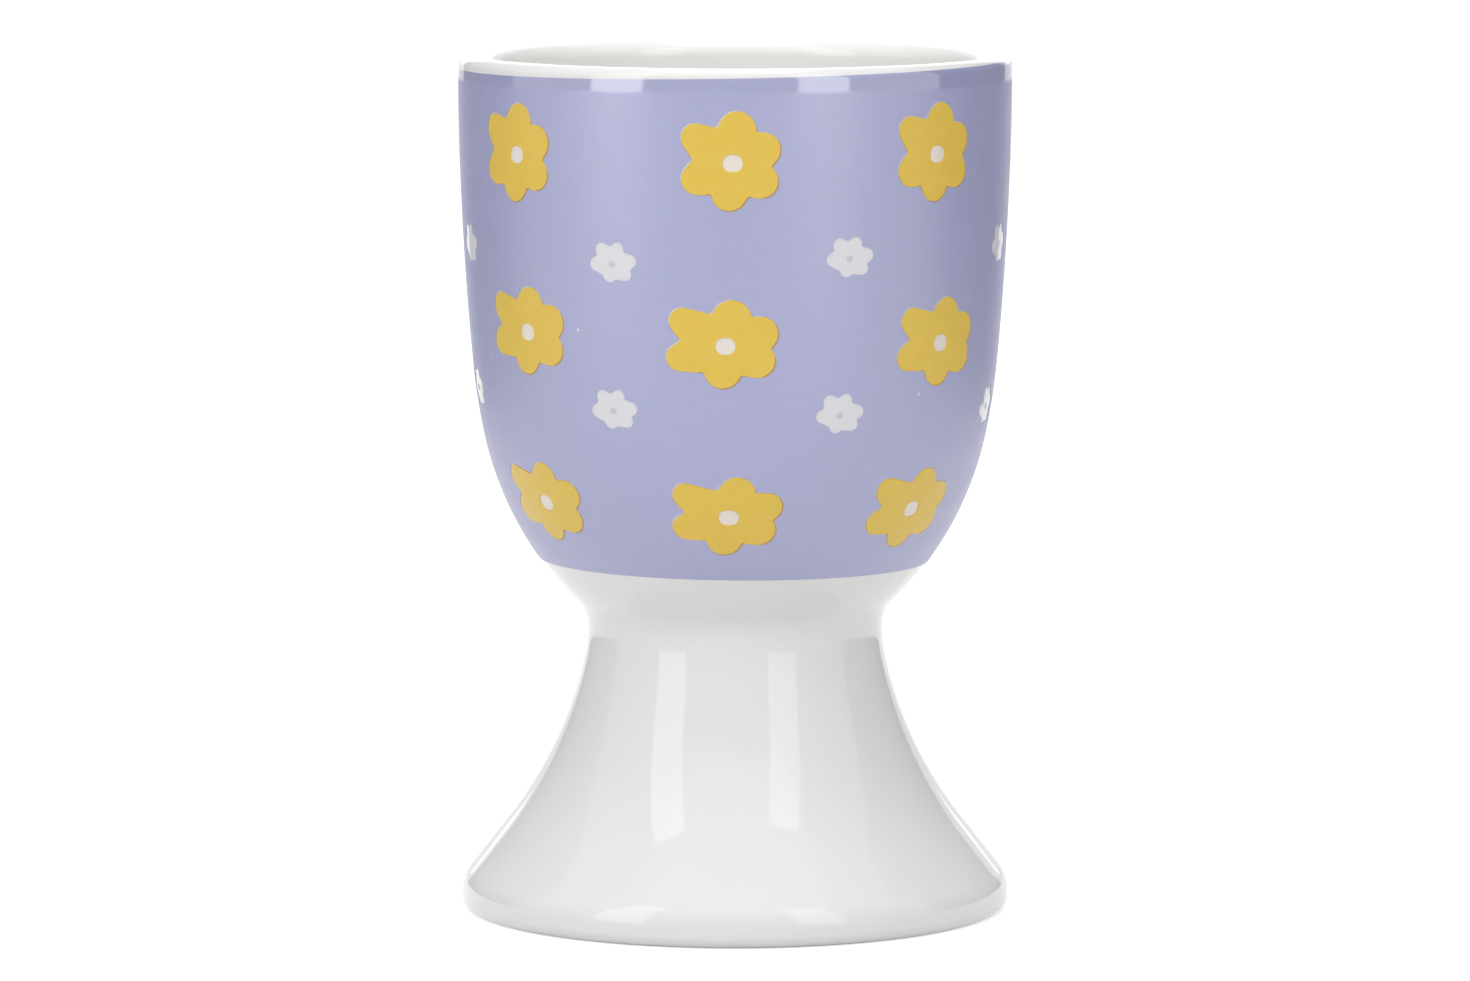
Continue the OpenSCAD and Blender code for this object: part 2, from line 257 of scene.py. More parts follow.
def joint_angles():
    """How far down its outer and inner neck arcs the cut top of the foot lies, in degrees."""
    drop_h = waist.y - JOINT_Z
    outer, inner = (math.asin(drop_h / r) for r in (NECK_ARC_R, NECK_ARC_R + FOOT_WALL))
    return math.degrees(outer), math.degrees(inner)


def foot_outline():
    """The foot's whole section: down its outside, round the resting ring and up its hollow inside."""
    joint_outer, joint_inner = joint_angles()
    flare_in = flare_start - FOOT_WALL * unit(FLARE_DEG)
    upright_z = flare_in.y - (OPENING_R - flare_in.x) / math.tan(math.radians(FLARE_DEG))
    rim_centre = Vector((OPENING_R + OPENING_ROUND_R, OPENING_ROUND_R))
    return chain(
        arc(neck_centre, NECK_ARC_R, 180 + joint_outer, 180 + NECK_DEG, 8),
        arc(flare_centre, FLARE_ARC_R, 180 + NECK_DEG, 180 + FLARE_DEG, 40),
        arc(corner_centre, CORNER_R, FLARE_DEG, 0, 14),
        arc(Vector((FOOT_R - EDGE_ROUND_R, EDGE_ROUND_R)), EDGE_ROUND_R, 0, -90, 12),
        arc(rim_centre, OPENING_ROUND_R, 270, 180, 8),
        [Vector((OPENING_R, upright_z))],
        arc(flare_centre, FLARE_ARC_R + FOOT_WALL, 180 + FLARE_DEG, 180 + NECK_DEG, 32),
        arc(neck_centre, NECK_ARC_R + FOOT_WALL, 180 + NECK_DEG, 180 + joint_inner, 6),
    )


def slip_outline():
    """The slip fills the wedge between the bowl's ball, the foot's top and the fillet."""
    joint_outer, joint_inner = joint_angles()
    inner_r = neck_centre.x - (NECK_ARC_R + FOOT_WALL) * math.cos(math.radians(joint_inner))
    ball_deg = math.degrees(math.acos(inner_r / bottom_r))
    return chain(
        arc(neck_centre, NECK_ARC_R, 180 + joint_outer, 180, 5),
        arc(fillet_centre, FILLET_R, 180, 180 - BELLY_DEG, 14),
        arc(bottom_centre, bottom_r, -BELLY_DEG, -ball_deg, 12)[1:],
        [Vector((inner_r, JOINT_Z))],
    )


def round_reach(deg, centre, r):
    """How far a ray from the middle goes until it leaves a disc, or 0 if it misses it."""
    along = unit(deg).dot(centre)
    aside = centre.length_squared - along * along
    return max(along + math.sqrt(r * r - aside), 0) if aside < r * r else 0


def edge_reach(deg, a, b):
    """How far a ray from the middle goes to the edge from a to b, or 0 if it misses it."""
    ray = unit(deg)
    run = b - a
    turn = ray.x * run.y - ray.y * run.x
    if abs(turn) < NEARLY_NONE:
        return 0
    far = (a.x * run.y - a.y * run.x) / turn
    share = (a.x * ray.y - a.y * ray.x) / turn
    return far if far > 0 and 0 <= share <= 1 else 0


def flower_reaches(flower, sides, shift):
    """Distances from the middle to the outline all the way round, with the flower shifted by a little.
    The petals widen in straight lines towards the heart, and the ink rounds all corners a little."""
    heart_r, petals = flower
    discs = [(shift, heart_r)]
    edges = []
    for right, up, r in petals:
        tip = Vector((right, up))
        aim = math.degrees(math.atan2(up, right))
        turn = math.degrees(math.acos((heart_r - r) / tip.length))
        discs.append((tip + shift, r))
        for way in (unit(aim - turn), unit(aim + turn)):
            edges.append((heart_r * way + shift, tip + r * way + shift))
    sharp = []
    for i in range(sides):
        deg = 360 * i / sides
        reaches = [round_reach(deg, *disc) for disc in discs] + [edge_reach(deg, *edge) for edge in edges]
        sharp.append(max(reaches))
    return [(sharp[i - 1] + 2 * sharp[i] + sharp[(i + 1) % sides]) / 4 for i in range(sides)]


def eye_reach(deg):
    """Distance from the middle to the edge of a yellow flower's open oval."""
    half_run = (YELLOW_EYE[0] - YELLOW_EYE[1]) / 2
    side = half_run if math.cos(math.radians(deg)) > 0 else -half_run
    end_reach = round_reach(deg, Vector((side, 0)), YELLOW_EYE[1] / 2)
    flat_reach = YELLOW_EYE[1] / 2 / max(abs(math.sin(math.radians(deg))), NEARLY_NONE)
    return end_reach if abs(flat_reach * math.cos(math.radians(deg))) > half_run else flat_reach


def ring(reaches):
    """A closed flat outline from the distances all the way round."""
    return [reach * unit(360 * i / len(reaches)) for i, reach in enumerate(reaches)]


# Making pieces


def new_object(name):
    """Names the primitive that was just added and empties its material slots."""
    piece = bpy.context.active_object
    piece.name = piece.data.name = name
    piece.data.materials.clear()
    return piece


def edit(piece):
    """Opens a piece alone in edit mode."""
    bpy.ops.object.select_all(action="DESELECT")
    piece.select_set(True)
    bpy.context.view_layer.objects.active = piece
    bpy.ops.object.mode_set(mode="EDIT")


def object_mode():
    """Leaves edit mode with nothing selected."""
    bpy.ops.object.mode_set(mode="OBJECT")
    bpy.ops.object.select_all(action="DESELECT")


def add_loop(name, places, height):
    """A ring of edges through flat places, made from a circle."""
    bpy.ops.object.select_all(action="DESELECT")
    bpy.ops.mesh.primitive_circle_add(vertices=len(places), radius=1, fill_type="NOTHING")
    loop = new_object(name)
    for vertex, place in zip(loop.data.vertices, places):
        vertex.co = Vector((place.x, place.y, height)) * MM
    return loop


def join(pieces):
    """Joins pieces into the first of them."""
    bpy.ops.object.select_all(action="DESELECT")
    for piece in pieces:
        piece.select_set(True)
    bpy.context.view_layer.objects.active = pieces[0]
    bpy.ops.object.join()
    return pieces[0]


def spin(name, outline, open_at_axis=False):
    """Spins an outline round the cup's axis into a closed skin. One that starts and ends on the axis
    is open there."""
    bpy.ops.object.select_all(action="DESELECT")
    bpy.ops.mesh.primitive_circle_add(vertices=len(outline), radius=1, fill_type="NOTHING")
    piece = new_object(name)
    for vertex, place in zip(piece.data.vertices, outline):
        vertex.co = Vector((place.x, 0, place.y)) * MM
    if open_at_axis:
        ends = {0, len(outline) - 1}
        for edge in piece.data.edges:
            edge.select = set(edge.vertices) == ends
        bpy.context.tool_settings.mesh_select_mode = (False, True, False)
        edit(piece)
        bpy.ops.mesh.delete(type="EDGE_FACE")
    else:
        edit(piece)
    bpy.ops.mesh.select_all(action="SELECT")
    bpy.ops.mesh.spin(steps=TURNS, angle=2 * math.pi, center=(0, 0, 0), axis=(0, 0, 1))
    bpy.ops.mesh.select_all(action="SELECT")
    bpy.ops.mesh.remove_doubles(threshold=SAME_POINT)
    bpy.ops.mesh.normals_make_consistent(inside=False)
    object_mode()
    return piece


def apply_modifiers(piece):
    """Makes a piece's modifiers part of its mesh."""
    bpy.ops.object.select_all(action="DESELECT")
    piece.select_set(True)
    bpy.context.view_layer.objects.active = piece
    for modifier in list(piece.modifiers):
        bpy.ops.object.modifier_apply(modifier=modifier.name)


def shade(piece, crease_deg=35):
    """Shades a piece smooth, except at edges sharper than the crease."""
    bpy.ops.object.select_all(action="DESELECT")
    piece.select_set(True)
    bpy.context.view_layer.objects.active = piece
    bpy.ops.object.shade_smooth_by_angle(angle=math.radians(crease_deg))


def finish_piece(piece, materials, node):
    """Gives a piece its materials and its record slot, and puts it in the CAD node's stead."""
    for material in materials:
        piece.data.materials.append(material)
    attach(piece, "root")
    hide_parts(node)


def remove(piece):
    """Takes away a piece that was only a tool."""
    bpy.data.objects.remove(piece, do_unlink=True)


# Materials


def principled(name):
    """A new material with its node tree and its one shader."""
    material = bpy.data.materials.new(name)
    material.use_nodes = True
    tree = material.node_tree
    shader = tree.nodes["Principled BSDF"]
    return material, tree, shader


def coordinates(tree):
    """Places on the piece, in metres."""
    node = tree.nodes.new("ShaderNodeTexCoord")
    return node.outputs["Object"]


def noise(tree, place, per_metre, detail=2.0):
    """Soft noise with so many spots to the metre, from 0 to 1."""
    node = tree.nodes.new("ShaderNodeTexNoise")
    node.inputs["Scale"].default_value = per_metre
    node.inputs["Detail"].default_value = detail
    tree.links.new(place, node.inputs["Vector"])
    return node.outputs["Fac"]


def spread(tree, value, low_in, high_in, low_out, high_out):
    """Spreads a value from one range over another and holds it at the ends."""
    node = tree.nodes.new("ShaderNodeMapRange")
    node.inputs["From Min"].default_value = low_in
    node.inputs["From Max"].default_value = high_in
    node.inputs["To Min"].default_value = low_out
    node.inputs["To Max"].default_value = high_out
    tree.links.new(value, node.inputs["Value"])
    return node.outputs["Result"]


def pinholes_and_painted_glints(tree, place):
    """A few tiny pale round spots, as 1, on a ground of 0: partly pinholes, partly painted glints."""
    node = tree.nodes.new("ShaderNodeTexVoronoi")
    node.inputs["Scale"].default_value = PINHOLE_AND_GLINT_SPECKS_PER_METRE
    tree.links.new(place, node.inputs["Vector"])
    return spread(tree, node.outputs["Distance"], 0.02, 0.04, 1, 0)


def blend_colours(tree, share, first, second):
    """The first colour where the share is 0, the second where it is 1. Either may be a node's output."""
    node = tree.nodes.new("ShaderNodeMix")
    node.data_type = "RGBA"
    a, b = node.inputs[6], node.inputs[7]
    for socket, colour in ((a, first), (b, second)):
        if isinstance(colour, tuple):
            socket.default_value = (*colour, 1)
        else:
            tree.links.new(colour, socket)
    tree.links.new(share, node.inputs[0])
    return node.outputs[2]


def bump(tree, shader, height, strength, distance):
    """Lets a height from 0 to 1 ripple the surface by up to a distance in metres."""
    node = tree.nodes.new("ShaderNodeBump")
    node.inputs["Strength"].default_value = strength
    node.inputs["Distance"].default_value = distance
    tree.links.new(height, node.inputs["Height"])
    tree.links.new(node.outputs["Normal"], shader.inputs["Normal"])


def srgb(red, green, blue):
    """A screen colour of 0 to 255 as the linear colour that a shader takes."""
    def linear(value):
        share = value / 255
        return share / 12.92 if share <= 0.04045 else ((share + 0.055) / 1.055) ** 2.4
    return (linear(red), linear(green), linear(blue))


def white_glaze(name, pale, deep):
    """A glossy glaze of two close whites, with the faint waviness of a fired surface."""
    material, tree, shader = principled(name)
    place = coordinates(tree)
    clouds = noise(tree, place, per_metre=60, detail=3)
    colour = blend_colours(tree, spread(tree, clouds, 0.35, 0.65, 0, 1), pale, deep)
    tree.links.new(colour, shader.inputs["Base Color"])
    roughness = spread(tree, noise(tree, place, per_metre=400), 0.3, 0.7, 0.02, 0.04)
    tree.links.new(roughness, shader.inputs["Roughness"])
    shader.inputs["IOR"].default_value = 1.5
    bump(tree, shader, noise(tree, place, per_metre=300, detail=1), strength=0.03, distance=0.0002)
    return material


def bare_porcelain(name, pale, deep):
    """The unglazed, fine-grained ring that the foot rests on."""
    material, tree, shader = principled(name)
    place = coordinates(tree)
    grit = noise(tree, place, per_metre=3500, detail=3)
    colour = blend_colours(tree, spread(tree, grit, 0.35, 0.65, 0, 1), deep, pale)
    tree.links.new(colour, shader.inputs["Base Color"])
    shader.inputs["Roughness"].default_value = 0.75
    bump(tree, shader, grit, strength=0.3, distance=0.00008)
    return material


def print_material(name, pale, deep, pinhole_and_glint_colour, rough, ior, shine, spots_per_metre):
    """A fired print: nearly even colour, with the faint unevenness of a screened ink, a few pale specks
    that are partly pinholes where the glaze shows and partly painted glints, and glossier near the lip."""
    material, tree, shader = principled(name)
    place = coordinates(tree)
    patches = noise(tree, place, spots_per_metre, detail=3)
    ink = blend_colours(tree, spread(tree, patches, 0.3, 0.7, 0, 1), pale, deep)
    # Pale specks: partly pinholes where the glaze shows, partly painted glints
    colour = blend_colours(tree, pinholes_and_painted_glints(tree, place), ink, pinhole_and_glint_colour)
    tree.links.new(colour, shader.inputs["Base Color"])
    split = tree.nodes.new("ShaderNodeSeparateXYZ")
    tree.links.new(place, split.inputs[0])
    clouds = noise(tree, place, per_metre=500)
    dull = spread(tree, clouds, 0.3, 0.7, rough - UNEVEN_ROUGH, rough + UNEVEN_ROUGH)
    gloss_start, gloss_full = ((GROUND_TOP - down) * MM for down in (GLOSS_START, GLOSS_FULL))
    near_lip = spread(tree, split.outputs["Z"], gloss_start, gloss_full, 0, 1)
    roughness = tree.nodes.new("ShaderNodeMix")
    roughness.inputs["B"].default_value = GLOSS_ROUGH
    tree.links.new(near_lip, roughness.inputs["Factor"])
    tree.links.new(dull, roughness.inputs["A"])
    tree.links.new(roughness.outputs["Result"], shader.inputs["Roughness"])
    shader.inputs["IOR"].default_value = ior
    shader.inputs["Specular IOR Level"].default_value = shine
    bump(tree, shader, noise(tree, place, per_metre=450, detail=1), strength=0.04, distance=0.0002)
    return material


WHITE = white_glaze("white_glaze", srgb(238, 238, 237), srgb(240, 240, 239))
# Painted light: the inside gets a lighter copy of the white glaze, which stands in for the light that falls
# inside the bowl
INSIDE_PAINTED_LIGHT = white_glaze("inside_glaze_painted_light", srgb(245, 245, 243), srgb(247, 247, 245))
UNDER_PRINT = white_glaze("glaze_under_print", srgb(231, 230, 235), srgb(233, 232, 236))
WARM_MIDDLE = white_glaze("glaze_in_yellow_flowers", srgb(239, 231, 221), srgb(241, 233, 224))
BARE = bare_porcelain("bare_porcelain", srgb(233, 231, 226), srgb(222, 219, 213))

# The colour of the pale specks in each print: partly the glaze that shows through pinholes, partly painted
# glints
COOL_PINHOLE_AND_GLINT = srgb(212, 211, 221)
WARM_PINHOLE_AND_GLINT = srgb(238, 226, 196)
LILAC = print_material(
    "lilac_print", srgb(158, 160, 202), srgb(156, 158, 200), COOL_PINHOLE_AND_GLINT,
    rough=0.38, ior=1.8, shine=0.86, spots_per_metre=900)
YELLOW = print_material(
    "yellow_print", srgb(234, 198, 74), srgb(231, 194, 66), WARM_PINHOLE_AND_GLINT,
    rough=0.36, ior=1.5, shine=0.7, spots_per_metre=700)
OVERLAP = print_material(
    "yellow_over_lilac", srgb(188, 148, 82), srgb(182, 142, 78), WARM_PINHOLE_AND_GLINT,
    rough=0.36, ior=1.5, shine=0.7, spots_per_metre=700)
GREY = print_material(
    "grey_print", srgb(213, 213, 216), srgb(209, 209, 212), COOL_PINHOLE_AND_GLINT,
    rough=0.3, ior=1.5, shine=0.5, spots_per_metre=900)


# Porcelain

bowl = spin("glazed_bowl", bowl_outline(), open_at_axis=True)
shade(bowl)
finish_piece(bowl, [WHITE, UNDER_PRINT, INSIDE_PAINTED_LIGHT, WARM_MIDDLE], "bowl")

# The glaze under the print starts this far inside the print's edges, where it can't be seen.
# Downwards counts as outwards too, because the bowl's bottom has its outer face below.
HIDDEN_EDGE = 1.5
DOWNWARDS = -0.01
for face in bowl.data.polygons:
    z = face.center.z / MM
    outside = face.normal.dot(Vector((face.center.x, face.center.y, DOWNWARDS))) > 0
    # Faces inside the bowl get the lighter inside glaze, which is painted light
    if not outside:
        face.material_index = 2
    elif GROUND_BOTTOM + HIDDEN_EDGE < z < GROUND_TOP - HIDDEN_EDGE:
        face.material_index = 1

slip = spin("wiped_slip", slip_outline())
shade(slip)
finish_piece(slip, [WHITE], "slip_joint")

foot = spin("glazed_foot", foot_outline())
shade(foot)
finish_piece(foot, [WHITE, BARE], "foot")
for face in foot.data.polygons:
    if face.center.z < BARE_H * MM and face.normal.z < 0:
        face.material_index = 1


# The print


def band_outline(grow):
    """The print's side from its lower edge up to its upper edge, with finer rings near the upper edge."""
    steps, fine_steps, fine_h = 80, 28, 1.7
    fine_start = GROUND_TOP - fine_h
    heights = [GROUND_BOTTOM + (fine_start - GROUND_BOTTOM) * i / steps for i in range(steps)]
    heights += [fine_start + fine_h * i / fine_steps for i in range(fine_steps + 1)]
    return [Vector((radius_at(z), z)) + grow * unit(-lean_at(z)) for z in heights]


def lay_askew(piece):
    """Moves the print's rings up or down along the side, and a little onto the lip where they reach it.
    The print thins out towards its upper edge."""
    for vertex in piece.data.vertices:
        x, y, z = vertex.co / MM
        out = math.hypot(x, y)
        thinning = max(1 - (GROUND_TOP - z) / THIN_H, 0)
        face_grow = GROUND_RELIEF * (1 - THIN_SHARE * thinning * thinning)
        grow = face_grow if out > radius_at(z) else -GROUND_ROOT
        z += grow * math.sin(math.radians(lean_at(z)))
        up_share = (z - GROUND_BOTTOM) / (GROUND_TOP - GROUND_BOTTOM)
        rightness = x / out
        top, bottom = (lift + more * rightness for lift, more in (TOP_LIFT, BOTTOM_LIFT))
        z += up_share * top + (1 - up_share) * bottom
        if z > lip_base.y:
            lean = -math.asin((z - lip_base.y) / LIP_ROUND_R)
            r = BOWL_R - LIP_ROUND_R + LIP_ROUND_R * math.cos(lean)
        else:
            lean = math.radians(lean_at(z))
            r = radius_at(z)
        r += grow * math.cos(lean)
        vertex.co = Vector((x / out * r, y / out * r, z - grow * math.sin(lean))) * MM


def stand_on_bowl(turn_deg, z):
    """Where a flat thing goes to stand square on the bowl's side: its x is to the right and its y is up."""
    turn = Matrix.Rotation(math.radians(turn_deg), 4, "Z")
    put = Matrix.Translation(Vector((0, -radius_at(z), z)) * MM)
    tip = Matrix.Rotation(math.radians(90 + lean_at(z)), 4, "X")
    return turn @ put @ tip


def yellow_place(row, column):
    """Turn and height of a yellow flower's middle."""
    right, up = YELLOW_LAY[row][column]
    down = TOP_ROW_DROP + ROW_PITCH * (row - up)
    return PATTERN_DEG + 360 / COLUMNS * (column + right), GROUND_TOP - down


def white_place(row, column):
    """Turn and height of a white flower's middle, half a column on from the yellow ones."""
    right, up = WHITE_LAY[row][column]
    down = TOP_ROW_DROP + ROW_PITCH * (row + WHITE_ROW_SHARES[row] - up)
    return PATTERN_DEG + 360 / COLUMNS * (column + 0.5 + right), GROUND_TOP - down


def apply_place(piece):
    """Puts a piece's place into its mesh."""
    bpy.ops.object.select_all(action="DESELECT")
    piece.select_set(True)
    bpy.context.view_layer.objects.active = piece
    bpy.ops.object.transform_apply(location=True, rotation=True, scale=True)


def bar(name, outline, matrix, half_depth=1.6):
    """A short bar of the given outline through the bowl's side."""
    piece = add_loop(name, outline, -half_depth)
    edit(piece)
    bpy.ops.mesh.select_all(action="SELECT")
    bpy.ops.mesh.edge_face_add()
    bpy.ops.mesh.extrude_region_move(TRANSFORM_OT_translate={"value": (0, 0, 2 * half_depth * MM)})
    bpy.ops.mesh.select_all(action="SELECT")
    bpy.ops.mesh.normals_make_consistent(inside=False)
    object_mode()
    piece.matrix_world = matrix
    apply_place(piece)
    return piece


def on_side(matrix, place):
    """The place on the bowl's side that a flat place (right, up, height above the glaze) comes to."""
    outwards = matrix.to_3x3() @ Vector((0, 0, 1))
    depth = 0
    for _ in range(3):
        point = (matrix @ (Vector((place.x, place.y, depth)) * MM)) / MM
        rho = math.hypot(point.x, point.y)
        gap = radius_at(point.z) + place.z / math.cos(math.radians(lean_at(point.z))) - rho
        depth += gap * rho / (outwards.x * point.x + outwards.y * point.y)
    return matrix @ (Vector((place.x, place.y, depth)) * MM)


def printed_sheet(name, sections, turn_deg, z):
    """A thin closed sheet of print. Each section holds, for one direction, the places of the rings
    as (distance from the middle, height above the glaze), once round the sheet."""
    sides, rings = len(sections), len(sections[0])
    bpy.ops.object.select_all(action="DESELECT")
    bpy.ops.mesh.primitive_grid_add(x_subdivisions=sides, y_subdivisions=rings, size=1)
    sheet = new_object(name)
    matrix = stand_on_bowl(turn_deg, z)
    for vertex in sheet.data.vertices:
        side_i = round((vertex.co.x + 0.5) * sides) % sides
        ring_i = round((vertex.co.y + 0.5) * rings) % rings
        reach, height = sections[side_i][ring_i]
        flat = reach * unit(360 * side_i / sides)
        vertex.co = on_side(matrix, Vector((flat.x, flat.y, height)))
    edit(sheet)
    bpy.ops.mesh.select_all(action="SELECT")
    bpy.ops.mesh.remove_doubles(threshold=SAME_POINT)
    bpy.ops.mesh.normals_make_consistent(inside=False)
    object_mode()
    return sheet


# The yellow ink has tinted the glaze a little in the open middles
MIDDLE_REACH = 1.8
for row in range(len(ROW_NAMES)):
    for column in range(COLUMNS):
        middle = stand_on_bowl(*yellow_place(row, column)).translation
        for face in bowl.data.polygons:
            if (face.center - middle).length < MIDDLE_REACH * MM:
                face.material_index = 3

YELLOW_OUTLINES = [flower_reaches(flower, FLOWER_SIDES, Vector((0, 0))) for flower in YELLOW_FLOWERS]

# The windows in the lilac were cut for the print before it slipped
YELLOW_UNSLIPPED = [flower_reaches(flower, FLOWER_SIDES, -PRINT_SLIP) for flower in YELLOW_FLOWERS]
WHITE_OUTLINE = flower_reaches(WHITE_FLOWER, FLOWER_SIDES, Vector((0, 0)))

ground = spin("lilac_print_ground", band_outline(GROUND_RELIEF) + band_outline(-GROUND_ROOT)[::-1])
lay_askew(ground)
bars = []
for row in range(len(ROW_NAMES)):
    window = ring([max(pair) for pair in zip(YELLOW_OUTLINES[row], YELLOW_UNSLIPPED[row])])
    for column in range(COLUMNS):
        bars.append(bar("window_bar", window, stand_on_bowl(*yellow_place(row, column))))
white_window = ring(WHITE_OUTLINE)
for row in range(len(WHITE_ROW_NAMES)):
    for column in range(COLUMNS):
        bars.append(bar("window_bar", white_window, stand_on_bowl(*white_place(row, column))))
cutter = join(bars)
cut = ground.modifiers.new("windows", "BOOLEAN")
cut.operation = "DIFFERENCE"
cut.solver = "EXACT"
cut.object = cutter
apply_modifiers(ground)
remove(cutter)
shade(ground)
finish_piece(ground, [LILAC], "lilac_ground")


def yellow_section(side, row):
    """Rings of a yellow flower: over its top, round its outer edge and back underneath."""
    eye_share, edge_share = 0.8, 0.6
    eye = eye_reach(360 * side / FLOWER_SIDES)
    outline = YELLOW_OUTLINES[row][side]
    over = min(outline - EDGE_ROUND, YELLOW_UNSLIPPED[row][side] - EDGE_ROUND / 2)
    rings = [(eye, 0), (eye + EDGE_ROUND / 2, YELLOW_RELIEF * eye_share)]
    first = eye + EDGE_ROUND
    rings += [(first + (over - first) * i / PETAL_RINGS, YELLOW_RELIEF) for i in range(PETAL_RINGS + 1)]
    rings += [(outline - EDGE_ROUND / 2, YELLOW_RELIEF), (outline, YELLOW_RELIEF * edge_share)]
    return rings + [(outline, 0)]


def over_lilac(sheet, row, turn_deg, z):
    """Faces of the strip that slipped over the lilac get the darker print."""
    back = stand_on_bowl(turn_deg, z).inverted()
    for face in sheet.data.polygons:
        flat = (back @ face.center).to_2d() / MM
        side = round(math.degrees(math.atan2(flat.y, flat.x)) / 360 * FLOWER_SIDES) % FLOWER_SIDES
        if flat.length > YELLOW_UNSLIPPED[row][side] - EDGE_ROUND / 2:
            face.material_index = 1


for row in range(len(ROW_NAMES)):
    sections = [yellow_section(side, row) for side in range(FLOWER_SIDES)]
    for column in range(COLUMNS):
        place = yellow_place(row, column)
        number = f"{ROW_NAMES[row]}_{column + 1}"
        sheet = printed_sheet(f"yellow_print_{number}", sections, *place)
        shade(sheet)
        finish_piece(sheet, [YELLOW, OVERLAP], f"yellow_flower_{number}")
        over_lilac(sheet, row, *place)

dot_r = DOT_D / 2
dot_rings = [(POLE_R, DOT_RELIEF), (dot_r - EDGE_ROUND, DOT_RELIEF), (dot_r, DOT_RELIEF / 2)]
dot_rings += [(dot_r, 0), (POLE_R, 0)]
for row in range(len(WHITE_ROW_NAMES)):
    for column in range(COLUMNS):
        number = f"{WHITE_ROW_NAMES[row]}_{column + 1}"
        dot = printed_sheet(f"dot_print_{number}", [dot_rings] * DOT_SIDES, *white_place(row, column))
        shade(dot)
        finish_piece(dot, [GREY], f"white_flower_dot_{number}")


# Floor, light and camera


def stage_material(name, colour, glow):
    """Pale floor or backdrop that keeps a soft shadow and looks white to the camera and in reflections."""
    material = bpy.data.materials.new(name)
    material.use_nodes = True
    tree = material.node_tree
    tree.nodes.clear()
    out = tree.nodes.new("ShaderNodeOutputMaterial")
    diffuse = tree.nodes.new("ShaderNodeBsdfDiffuse")
    diffuse.inputs["Color"].default_value = (*colour, 1)
    emission = tree.nodes.new("ShaderNodeEmission")
    path = tree.nodes.new("ShaderNodeLightPath")
    total = seen_white(tree, path)
    strength = tree.nodes.new("ShaderNodeMath")
    strength.operation = "MULTIPLY"
    strength.inputs[1].default_value = glow
    tree.links.new(total, strength.inputs[0])
    tree.links.new(strength.outputs[0], emission.inputs["Strength"])
    add = tree.nodes.new("ShaderNodeAddShader")
    tree.links.new(diffuse.outputs[0], add.inputs[0])
    tree.links.new(emission.outputs[0], add.inputs[1])
    tree.links.new(add.outputs[0], out.inputs["Surface"])
    return material


def seen_white(tree, path):
    """1 for rays from the camera and for those in gloss and glass, else 0."""
    total = tree.nodes.new("ShaderNodeMath")
    total.operation = "ADD"
    total.use_clamp = True
    tree.links.new(path.outputs["Is Camera Ray"], total.inputs[0])
    tree.links.new(path.outputs["Is Glossy Ray"], total.inputs[1])
    both = tree.nodes.new("ShaderNodeMath")
    both.operation = "ADD"
    both.use_clamp = True
    tree.links.new(total.outputs[0], both.inputs[0])
    tree.links.new(path.outputs["Is Transmission Ray"], both.inputs[1])
    return both.outputs[0]


# The floor lies a hair below the cup, so that its face and the resting ring's don't fall together
FLOOR_DROP = 0.02
FLOOR_HALF = 3
bpy.ops.object.select_all(action="DESELECT")
bpy.ops.mesh.primitive_plane_add(size=2 * FLOOR_HALF, location=(0, 0, -FLOOR_DROP * MM))
floor = new_object("floor")
floor.data.materials.append(stage_material("pale_floor", (0.7, 0.7, 0.7), glow=0.65))

# The background is white to the camera and in reflections, and lights the cup by AMBIENT
AMBIENT = 0.5
world = bpy.data.worlds.new("studio")
bpy.context.scene.world = world
world.use_nodes = True
tree = world.node_tree
background = tree.nodes["Background"]
path = tree.nodes.new("ShaderNodeLightPath")
white_share = seen_white(tree, path)
mix = tree.nodes.new("ShaderNodeMapRange")
mix.inputs["To Min"].default_value = AMBIENT
mix.inputs["To Max"].default_value = 1
tree.links.new(white_share, mix.inputs["Value"])
tree.links.new(mix.outputs["Result"], background.inputs["Strength"])
background.inputs["Color"].default_value = (1, 1, 1, 1)


def upright(azimuth_deg, distance, height):
    """Where an upright panel goes that faces the cup. Its direction counts from the front to the right."""
    across = math.radians(azimuth_deg)
    out = Vector((math.sin(across), -math.cos(across), 0))
    side = Vector((math.cos(across), math.sin(across), 0))
    turn = Matrix((side, Vector((0, 0, 1)), out)).transposed().to_4x4()
    return Matrix.Translation(out * distance + Vector((0, 0, height))) @ turn


def panel(name, place, width, height, brightness):
    """A flat lamp that shines against its own z axis. A brightness of 1 is that of the white background."""
    data = bpy.data.lights.new(name, "AREA")
    data.shape = "RECTANGLE"
    data.size = width
    data.size_y = height
    data.energy = brightness * math.pi * width * height
    lamp = bpy.data.objects.new(name, data)
    bpy.context.scene.collection.objects.link(lamp)
    lamp.matrix_world = place
    lamp.visible_camera = False


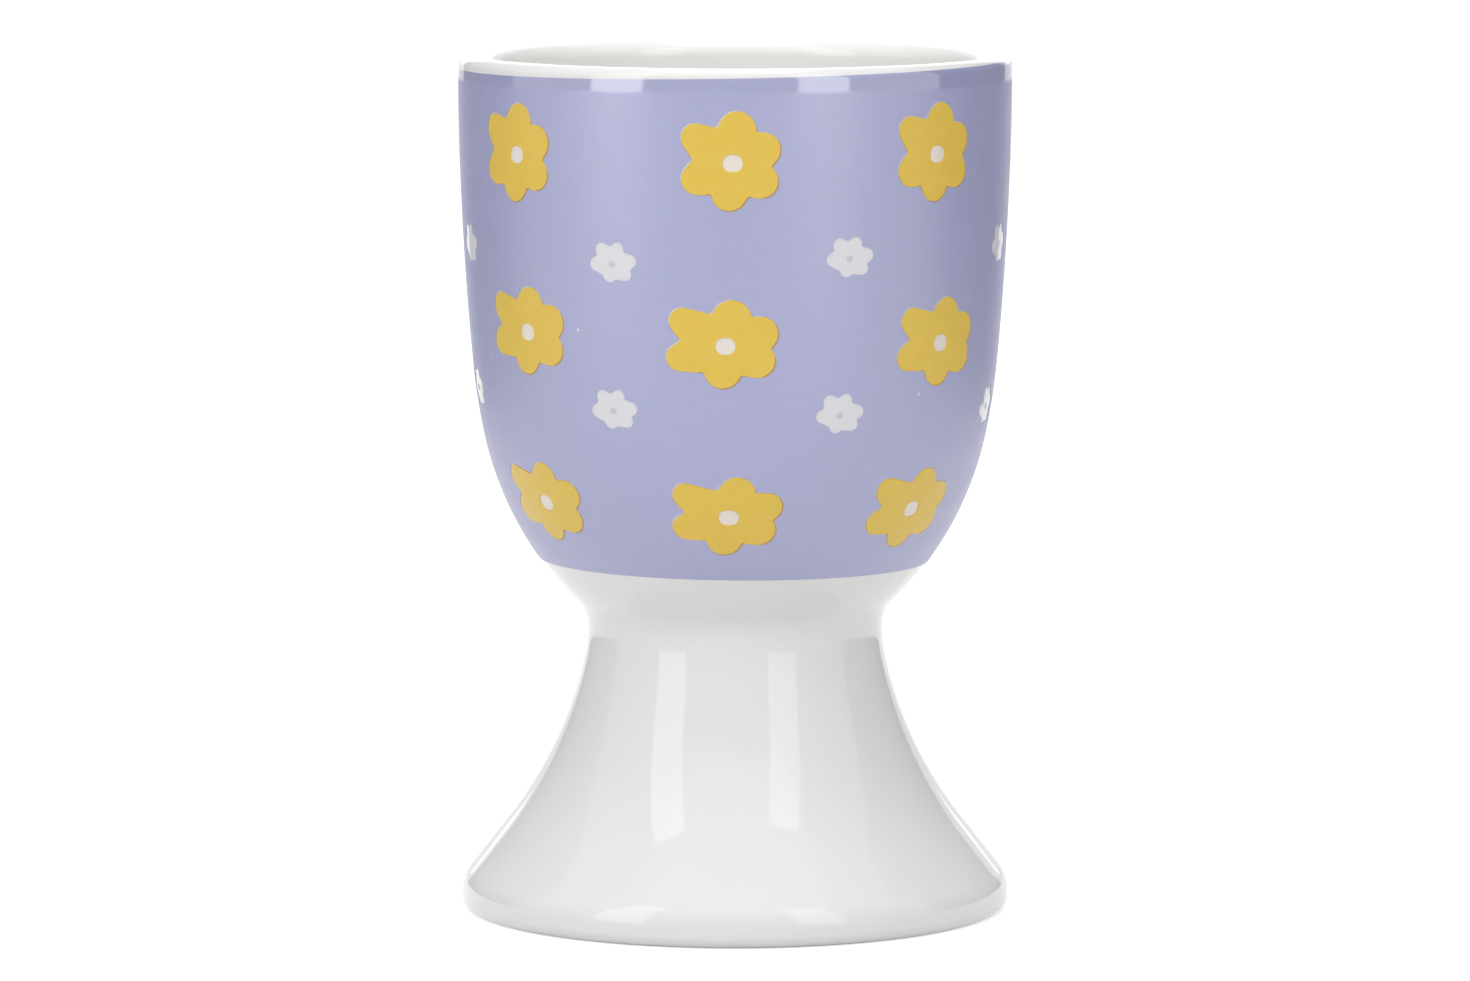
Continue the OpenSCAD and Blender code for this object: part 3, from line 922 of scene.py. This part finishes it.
def side_card(name, azimuth_deg, distance, width, height, grey):
    """A dark card beside the cup, which gives pale sides their edge."""
    bpy.ops.object.select_all(action="DESELECT")
    bpy.ops.mesh.primitive_plane_add(size=1)
    card = new_object(name)
    place = upright(azimuth_deg, distance, height / 2)
    for vertex in card.data.vertices:
        vertex.co = place @ Vector((vertex.co.x * width, vertex.co.y * height, 0))
    material, tree, shader = principled(name)
    shader.inputs["Base Color"].default_value = (grey, grey, grey, 1)
    shader.inputs["Roughness"].default_value = 0.9
    card.data.materials.append(material)
    card.visible_camera = False


# Lamps and cards, in metres from the middle of the resting face
panel("left_strip", upright(-49, 0.5, 0.405), width=0.2, height=0.77, brightness=1.9)
panel("right_strip", upright(36, 0.5, 0.395), width=0.19, height=0.75, brightness=1.6)
lean_down = Matrix.Rotation(math.radians(30), 4, "X")
high_place = Matrix.Translation((0, -0.55, 0.98)) @ lean_down
panel("high_softbox", high_place, width=1.2, height=0.9, brightness=0.45)
panel("top_softbox", Matrix.Translation((0, 0, 0.75)), width=0.4, height=0.4, brightness=2.5)
panel("back_softbox", upright(180, 1.0, 0.7), width=0.9, height=1.2, brightness=0.8)
side_card("left_card", -125, 0.24, width=0.22, height=0.36, grey=0.5)
side_card("right_card", 118, 0.24, width=0.26, height=0.36, grey=0.36)

# The camera, placed as for the photograph, in millimetres, degrees and pixels
CAMERA_BACK = 715.55
CAMERA_UP = 118.14
CAMERA_DOWN_DEG = 6.383
FOCAL_PX = 7910.5
FRAME_PX = 1470
SENSOR = 36
camera_data = bpy.data.cameras.new("camera")
camera = bpy.data.objects.new("camera", camera_data)
bpy.context.scene.collection.objects.link(camera)
camera.location = Vector((0, -CAMERA_BACK, CAMERA_UP)) * MM
camera.rotation_euler = (math.radians(90 - CAMERA_DOWN_DEG), 0, 0)
camera_data.sensor_width = SENSOR
camera_data.lens = FOCAL_PX * SENSOR / FRAME_PX
camera_data.clip_start = 0.01
camera_data.clip_end = 20
bpy.context.scene.camera = camera
bpy.context.scene.view_settings.view_transform = "Standard"
